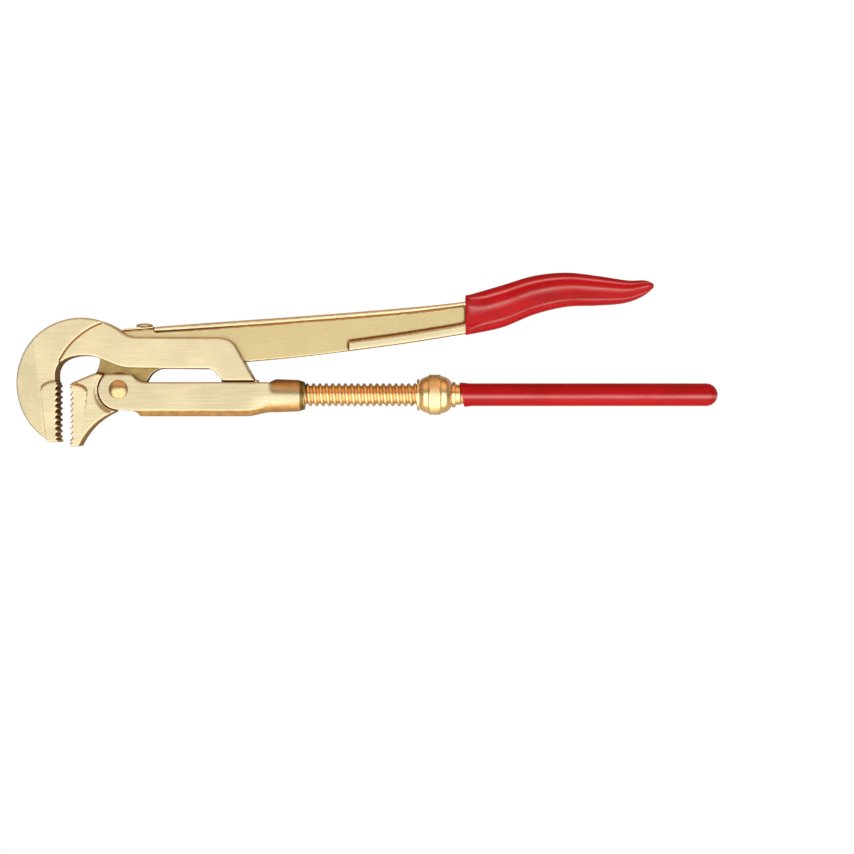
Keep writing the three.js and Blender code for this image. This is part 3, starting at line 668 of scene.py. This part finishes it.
class WRENCH_OT_nut(bpy.types.Operator):
    """Adjusting nut with its knurled band, and its thrust washer"""

    bl_idname = "wrench.nut"
    bl_label = "Nut"

    def execute(self, context):
        sizes, colours = context.scene.wrench_sizes, context.scene.wrench_colours
        low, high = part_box("adjusting_nut")
        front, back = low.x - NUT_MIDDLE.x, high.x - NUT_MIDDLE.x
        bore = sizes.thread_crest + 0.35 * MM
        band = (high.z - low.z) / 2 * 0.995
        band_start, band_end, groove, band_foot = -3.2 * MM, 3.7 * MM, 0.3 * MM, 11.4 * MM
        near = [(front, bore), (front, 8.7 * MM), (front + 0.6 * MM, 9.3 * MM),
                (-6.6 * MM, 10.3 * MM), (-4.6 * MM, 11.1 * MM), (band_start - groove, band_foot),
                (band_start, band)]
        far = [(band_end, band), (band_end + groove, band_foot), (5.8 * MM, 11.0 * MM),
               (7.4 * MM, 10.4 * MM), (8.7 * MM, 9.5 * MM), (9.6 * MM, 8.6 * MM),
               (back, 7.8 * MM), (back, bore)]
        loop = eased([*near, *far], 0.7 * MM, 3, loop=True)
        # The band's flat gets closer places, which the knurl needs.
        flat = loop[:, 1] > band - 0.02 * MM
        first = int(np.argmax(flat))
        last = len(loop) - 1 - int(np.argmax(flat[::-1]))
        ends = loop[first, 0], loop[last, 0]
        middle = [(x, band) for x in np.linspace(*ends, 26)]
        profile = np.array([*loop[:first], *middle, *loop[last + 1:]])

        def knurl(along, angle, radius):
            """Diamonds between crossed grooves, which fade out at the band's edges."""
            turn = sizes.knurl_count * angle / 2
            lean = math.pi * (along - band_start) / (1.75 * MM)
            diamond = np.abs(np.sin(turn + lean)) * np.abs(np.sin(turn - lean))
            rim = 0.5 * MM
            edge = np.clip((along - band_start) / rim - 1, 0, 1) * np.clip(
                (band_end - along) / rim - 1, 0, 1)
            on_band = (radius > 12 * MM) * edge
            return radius - sizes.knurl_depth * on_band * (1 - diamond)

        nut = turned("ball_nut", profile, NUT_MIDDLE, 352, loop=True, shape=knurl)
        dress(nut, "nut", "adjusting_nut",
              turned_finish("nut bronze", colours, colours.nut_bronze, NUT_MIDDLE, 23.0))

        low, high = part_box("nut_thrust_washer")
        inner, outer = sizes.thread_crest + 0.4 * MM, (high.z - low.z) / 2
        profile = eased([(low.x, inner), (low.x, outer), (high.x, outer), (high.x, inner)],
                        0.35 * MM, 4, loop=True)
        washer = turned("thrust_washer", profile, (0, NUT_MIDDLE.y, NUT_MIDDLE.z), 96, loop=True)
        dress(washer, "nut_carriage", "nut_thrust_washer",
              turned_finish("washer bronze", colours, colours.nut_bronze, NUT_MIDDLE, 27.0))
        return {"FINISHED"}


class WRENCH_OT_rivets(bpy.types.Operator):
    """Domed pivot rivet and the flatter rivet of the spring"""

    bl_idname = "wrench.rivets"
    bl_label = "Rivets"

    def execute(self, context):
        colours = context.scene.wrench_colours
        low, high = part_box("pivot_rivet")
        top = high.z - PIVOT.z
        head, shank, under = 5.7 * MM, 4.0 * MM, 10.3 * MM
        foot = under + 0.35 * MM
        rise = top - foot
        ball = (head ** 2 + rise ** 2) / (2 * rise)
        dome = [(top - ball + math.sqrt(ball ** 2 - r ** 2), r)
                for r in np.linspace(head, 0, 16)[:-1]]
        half = [(under, shank), (under, head - 0.15 * MM), (under + 0.15 * MM, head), *dome,
                (top, POINT)]
        profile = [(-z, r) for z, r in reversed(half)] + half
        rivet = turned("pivot_rivet_heads", profile, PIVOT, 72, axis="Z")
        dress(rivet, "frame", "pivot_rivet",
              rivet_finish("pivot rivet bronze", colours, colours.turned_bronze, 31.0))

        low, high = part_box("spring_rivet")
        middle = (low + high) / 2
        tip, crown = low.y - middle.y, high.y - middle.y
        seat, stem = crown - 2.0 * MM, 2.0 * MM
        profile = eased([(tip, POINT), (tip, stem), (seat, stem), (seat, 5.1 * MM),
                         (seat + 0.9 * MM, 5.05 * MM), (seat + 1.6 * MM, 3.9 * MM),
                         (seat + 1.95 * MM, stem), (crown, POINT)], 0.5 * MM, 4)
        stud = turned("spring_rivet_head", profile, middle, 64, axis="Y")
        dress(stud, "lever", "spring_rivet",
              rivet_finish("spring rivet bronze", colours, colours.worn_bronze, 35.0))
        return {"FINISHED"}


class WRENCH_OT_spring(bpy.types.Operator):
    """Leaf spring that holds the lever jaw open"""

    bl_idname = "wrench.spring"
    bl_label = "Leaf Spring"

    def execute(self, context):
        sizes, colours = context.scene.wrench_sizes, context.scene.wrench_colours
        piece = casting("leaf_spring", "spring_strip", sizes.spring_grain, sizes.spring_ease)
        dress(piece, "lever", "leaf_spring",
              strip_finish("spring bronze", colours, 39.0))
        return {"FINISHED"}


# The upper grip's top and bottom edges from its mouth to its tip, in millimetres from the pivot.
GRIP_TOP = ((211, 57.4), (232, 63.6), (251.4, 69.3), (270.9, 71.2), (290, 69.2), (308, 66.5),
            (318.5, 66.5), (324, 64.4))
GRIP_BOTTOM = ((211, 33.4), (232, 37.8), (251.4, 45.6), (270.9, 50.3), (290, 51.1), (306, 52.5),
               (317, 56.4), (324, 61.8))


def along_edge(points, share):
    """The point at a share of the way along a smooth curve through the points."""
    points = np.array(points, float)
    place = share * (len(points) - 1)
    i = min(int(place), len(points) - 2)
    t = place - i
    p0, p1, p2, p3 = (points[min(max(k, 0), len(points) - 1)] for k in (i - 1, i, i + 1, i + 2))
    v0, v1 = (p2 - p0) / 2, (p3 - p1) / 2
    return ((2 * t ** 3 - 3 * t ** 2 + 1) * p1 + (t ** 3 - 2 * t ** 2 + t) * v0
            + (3 * t ** 2 - 2 * t ** 3) * p2 + (t ** 3 - t ** 2) * v1)


# The ribs along the upper grip, each with a painted highlight: place from 1 at its top edge to -1 at
# its bottom edge, width, height.
GRIP_RIBS = ((0.66, 0.05, 0.8), (0.12, 0.09, 1.0), (-0.62, 0.05, 0.8))


def rib_share(up):
    """How near places across the grip are to a rib: 1 on its crest, 0 away from it."""
    return sum(height * np.exp(-((up - rib) / width) ** 2) for rib, width, height in GRIP_RIBS)


def squared(value, power):
    """A sine or cosine raised to a power but with its sign kept, for a squarish section."""
    return np.sign(value) * np.abs(value) ** power


def grip_rings(shares, around, inset, half, squareness, recess=0.0):
    """Squarish sections of the upper grip at shares of its length, inset from its top and bottom
    edges and reaching half to each side. All in millimetres except the shares and squareness, a
    power: 1 is round and 0 is square. recess is the depth of the hollows along its sides."""
    angles = np.linspace(0, 2 * math.pi, around, endpoint=False)
    rings = []
    for share in shares:
        top, bottom = along_edge(GRIP_TOP, share), along_edge(GRIP_BOTTOM, share)
        middle, rise = (top + bottom) / 2, (top - bottom) / 2
        length = np.linalg.norm(rise)
        rise = rise * max(length - inset, 0.3) / length
        taper = math.sqrt(1 - 0.9 * max(0.0, (share - 0.78) / 0.22) ** 2)
        # The section is squarer at the mouth, where it covers the handle's flanges.
        power = squareness - (squareness - 2 / 7) * max(0.0, 1 - share / 0.08)
        up, out = squared(np.cos(angles), power), squared(np.sin(angles), power)
        web = eased_step((0.80 - np.abs(up)) / 0.22)
        fade = eased_step(share / 0.05, (0.86 - share) / 0.14)
        sunk = recess * fade * (web - 0.45 * rib_share(up))
        ring = np.stack([middle[0] + rise[0] * up, middle[1] + rise[1] * up,
                         out * (half * taper - np.maximum(sunk, 0))], -1)
        rings.append(ring * MM)
    return np.array(rings) + np.array(PIVOT)


def store_highlight(piece, values):
    """Keeps the share of painted highlight at each vertex, for the finish."""
    attribute = piece.data.attributes.new("rib", "FLOAT", "POINT")
    attribute.data.foreach_set("value", np.clip(values, 0, 1).astype(np.float32))


class WRENCH_OT_grips(bpy.types.Operator):
    """Dipped plastic grips of the upper handle and of the rod"""

    bl_idname = "wrench.grips"
    bl_label = "Grips"

    def execute(self, context):
        sizes, colours = context.scene.wrench_sizes, context.scene.wrench_colours
        around, section = 144, 2 / 3.2
        shares = np.array([0, 0.003, 0.009, *np.linspace(0.02, 0.9, 70), *np.linspace(0.91, 1, 18)])
        outer = grip_rings(shares, around, 0.06, 7.2, section, sizes.grip_recess / MM)
        # The rim is rolled over into the mouth.
        rim = grip_rings([0], around, 0.5, 6.7, 2 / 3.4)
        mouth = grip_rings([0, 0.01, 0.02], around, 1.3, 6.25, 2 / 7)
        hollow = grip_rings(np.linspace(0.03, 0.955, 24), around, 1.5, 5.3, 2 / 3.6)
        # The dipped rim reaches a little past the flanges' sunken ends.
        rim[0, :, 0] -= 1.3 * MM
        outer[0, :, 0] -= 1.2 * MM
        rings = np.concatenate([hollow[::-1], mouth[::-1], rim, outer])
        grip = skin("upper_handle_grip", rings)
        angles = np.linspace(0, 2 * math.pi, around, endpoint=False)
        # Painted highlight along the ribs, fading out towards the grip's ends and absent inside.
        fade = np.clip(shares / 0.02, 0, 1) * np.clip((0.97 - shares) / 0.08, 0, 1)
        ribs = np.outer(fade, rib_share(squared(np.cos(angles), section)))
        inside = np.zeros((len(rings) - len(outer)) * around)
        store_highlight(grip, np.concatenate([inside, ribs.ravel()]))
        dress(grip, "lever", "upper_grip",
              grip_finish("upper grip plastic", colours, 43.0))

        low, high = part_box("lower_grip")
        start, end = low.x - PIVOT.x, high.x - PIVOT.x
        radius, rim_radius = 6.9 * MM, (high.z - low.z) / 2
        inner, plain = 5.9 * MM, 6.5 * MM
        dome = [(end - radius * (1 - math.sin(a)), radius * math.cos(a))
                for a in np.linspace(0, math.pi / 2, 16)[:-1]]
        tube = [(x, radius) for x in np.linspace(start + 7 * MM, end - radius - 1 * MM, 60)]
        bottom = end - 5.2 * MM
        hollow = eased([(bottom, POINT), (bottom, inner - 3 * MM), (bottom - 3 * MM, inner),
                        (start + 1.4 * MM, inner), (start + 0.7 * MM, plain), (start, plain),
                        (start, rim_radius), (start + 2.5 * MM, rim_radius - 0.1 * MM),
                        (start + 6 * MM, radius)], 0.6 * MM, 4)
        profile = np.array([*hollow, *tube, *dome, (end, POINT)])
        lower = turned("lower_handle_grip", profile, ROD_ORIGIN, 80)
        vertices = lower.data.vertices
        for vertex in vertices:
            # The mouth leans back below the rod.
            near = max(0.0, 1 - (vertex.co.x - low.x) / (12 * MM))
            vertex.co.x += near * max(0.0, 1.4 * MM - 0.2 * (vertex.co.y - ROD_ORIGIN.y))
        # Painted highlight: a line along the lower grip, a little below its middle.
        across = [(vertex.co.y - ROD_ORIGIN.y) / radius for vertex in vertices]
        store_highlight(lower, [0.9 * math.exp(-((y + 0.2) / 0.13) ** 2) for y in across])
        dress(lower, "hook", "lower_grip",
              grip_finish("lower grip plastic", colours, 47.0))
        return {"FINISHED"}


# ---------------------------------------------------------------------------------------------------
# Stage


FLOOR_REACH = 6.0
FLOOR_LEVEL = -0.6 * MM
# Name, place, width, height, power and tint of each light.
LIGHTS = (("overhead softbox", (0.0, -0.95, 2.0), 6.0, 3.0, 100.0, (1.0, 1.0, 1.0)),
          ("near softbox", (0.0, -1.7, 0.6), 3.6, 1.1, 19.0, (1.0, 0.90, 0.70)),
          ("far card", (0.0, 1.5, 1.0), 4.0, 1.9, 17.0, (1.0, 0.50, 0.20)))


def lay_floor(colours):
    """A sheet that looks evenly lit, but gives the metal a duller floor to mirror."""
    corners = [(x * FLOOR_REACH, y * FLOOR_REACH, FLOOR_LEVEL)
               for x, y in ((-1, -1), (1, -1), (1, 1), (-1, 1))]
    mesh = bpy.data.meshes.new("floor")
    mesh.from_pydata(corners, [], [(0, 1, 2, 3)])
    floor = new_object("floor", mesh)
    f = Finish("floor paper")
    paper = f.add("ShaderNodeBsdfDiffuse", None, {"Color": rgba(colours.floor_bounce)})
    glow = f.add("ShaderNodeEmission", None, {"Color": rgba(colours.floor), "Strength": 1.0})
    seen = f.add("ShaderNodeLightPath", out="Is Camera Ray")
    either = f.add("ShaderNodeMixShader", None, {0: seen, 1: paper, 2: glow})
    f.add("ShaderNodeOutputMaterial", None, {"Surface": either})
    mesh.materials.append(f.material)


def fill_room(scene, colours):
    """Dim warm light from all round, behind a plain backdrop."""
    scene.world = bpy.data.worlds.new("studio")
    room = Tree(scene.world)
    walls = room.add("ShaderNodeBackground", None, {"Color": rgba(colours.room), "Strength": 0.30})
    backdrop = room.add("ShaderNodeBackground", None,
                        {"Color": rgba(colours.floor), "Strength": 1.0})
    seen = room.add("ShaderNodeLightPath", out="Is Camera Ray")
    either = room.add("ShaderNodeMixShader", None, {0: seen, 1: walls, 2: backdrop})
    room.add("ShaderNodeOutputWorld", None, {"Surface": either})


def hang_light(scene, name, place, width, height, energy, tint):
    """A soft rectangular light that faces the wrench."""
    light = bpy.data.lights.new(name, "AREA")
    light.shape = "RECTANGLE"
    light.size, light.size_y = width, height
    light.energy = energy
    light.color = tint
    lamp = bpy.data.objects.new(name, light)
    lamp.location = place
    middle = Vector([(low + high) / 2 for low, high in zip(*CAD_BOX)])
    lamp.rotation_euler = (middle - Vector(place)).to_track_quat("-Z", "Y").to_euler()
    lamp.visible_camera = False
    scene.collection.objects.link(lamp)


def set_camera(scene, sizes):
    """A long lens straight above, with the wrench in the upper left of its view."""
    camera = bpy.data.cameras.new("camera")
    camera.sensor_width = 36
    camera.lens = sizes.camera_lens
    camera.clip_end = 20
    eye = bpy.data.objects.new("camera", camera)
    eye.location = ROD_ORIGIN + Vector((186.35 * MM, -19.64 * MM, sizes.camera_height))
    scene.collection.objects.link(eye)
    scene.camera = eye


class WRENCH_OT_stage(bpy.types.Operator):
    """Pale floor, soft studio lights and the camera"""

    bl_idname = "wrench.stage"
    bl_label = "Stage"

    def execute(self, context):
        scene = context.scene
        scene.view_settings.view_transform = "Standard"
        scene.view_settings.look = "None"
        lay_floor(scene.wrench_colours)
        fill_room(scene, scene.wrench_colours)
        for light in LIGHTS:
            hang_light(scene, *light)
        set_camera(scene, scene.wrench_sizes)
        return {"FINISHED"}


class WRENCH_PT_pieces(bpy.types.Panel):
    """Lists the operators that make the wrench"""

    bl_idname = "WRENCH_PT_pieces"
    bl_label = "Pipe Wrench"
    bl_space_type = "VIEW_3D"
    bl_region_type = "UI"
    bl_category = "Wrench"

    def draw(self, context):
        for operator in OPERATORS:
            self.layout.operator(operator.bl_idname)
        for group in (context.scene.wrench_sizes, context.scene.wrench_colours):
            column = self.layout.column()
            for name in group.__annotations__:
                column.prop(group, name)


OPERATORS = (WRENCH_OT_stage, WRENCH_OT_hook, WRENCH_OT_sleeve, WRENCH_OT_lever, WRENCH_OT_rod,
             WRENCH_OT_nut, WRENCH_OT_rivets, WRENCH_OT_spring, WRENCH_OT_grips)
CLASSES = (WrenchSizes, WrenchColours, *OPERATORS, WRENCH_PT_pieces)


def register():
    for cls in CLASSES:
        bpy.utils.register_class(cls)
    bpy.types.Scene.wrench_sizes = PointerProperty(type=WrenchSizes)
    bpy.types.Scene.wrench_colours = PointerProperty(type=WrenchColours)


def unregister():
    del bpy.types.Scene.wrench_colours
    del bpy.types.Scene.wrench_sizes
    for cls in reversed(CLASSES):
        bpy.utils.unregister_class(cls)


def main():
    register()
    bpy.ops.wrench.stage()
    bpy.ops.wrench.hook()
    bpy.ops.wrench.sleeve()
    bpy.ops.wrench.lever()
    bpy.ops.wrench.rod()
    bpy.ops.wrench.nut()
    bpy.ops.wrench.rivets()
    bpy.ops.wrench.spring()
    bpy.ops.wrench.grips()


if __name__ == "__main__":
    main()
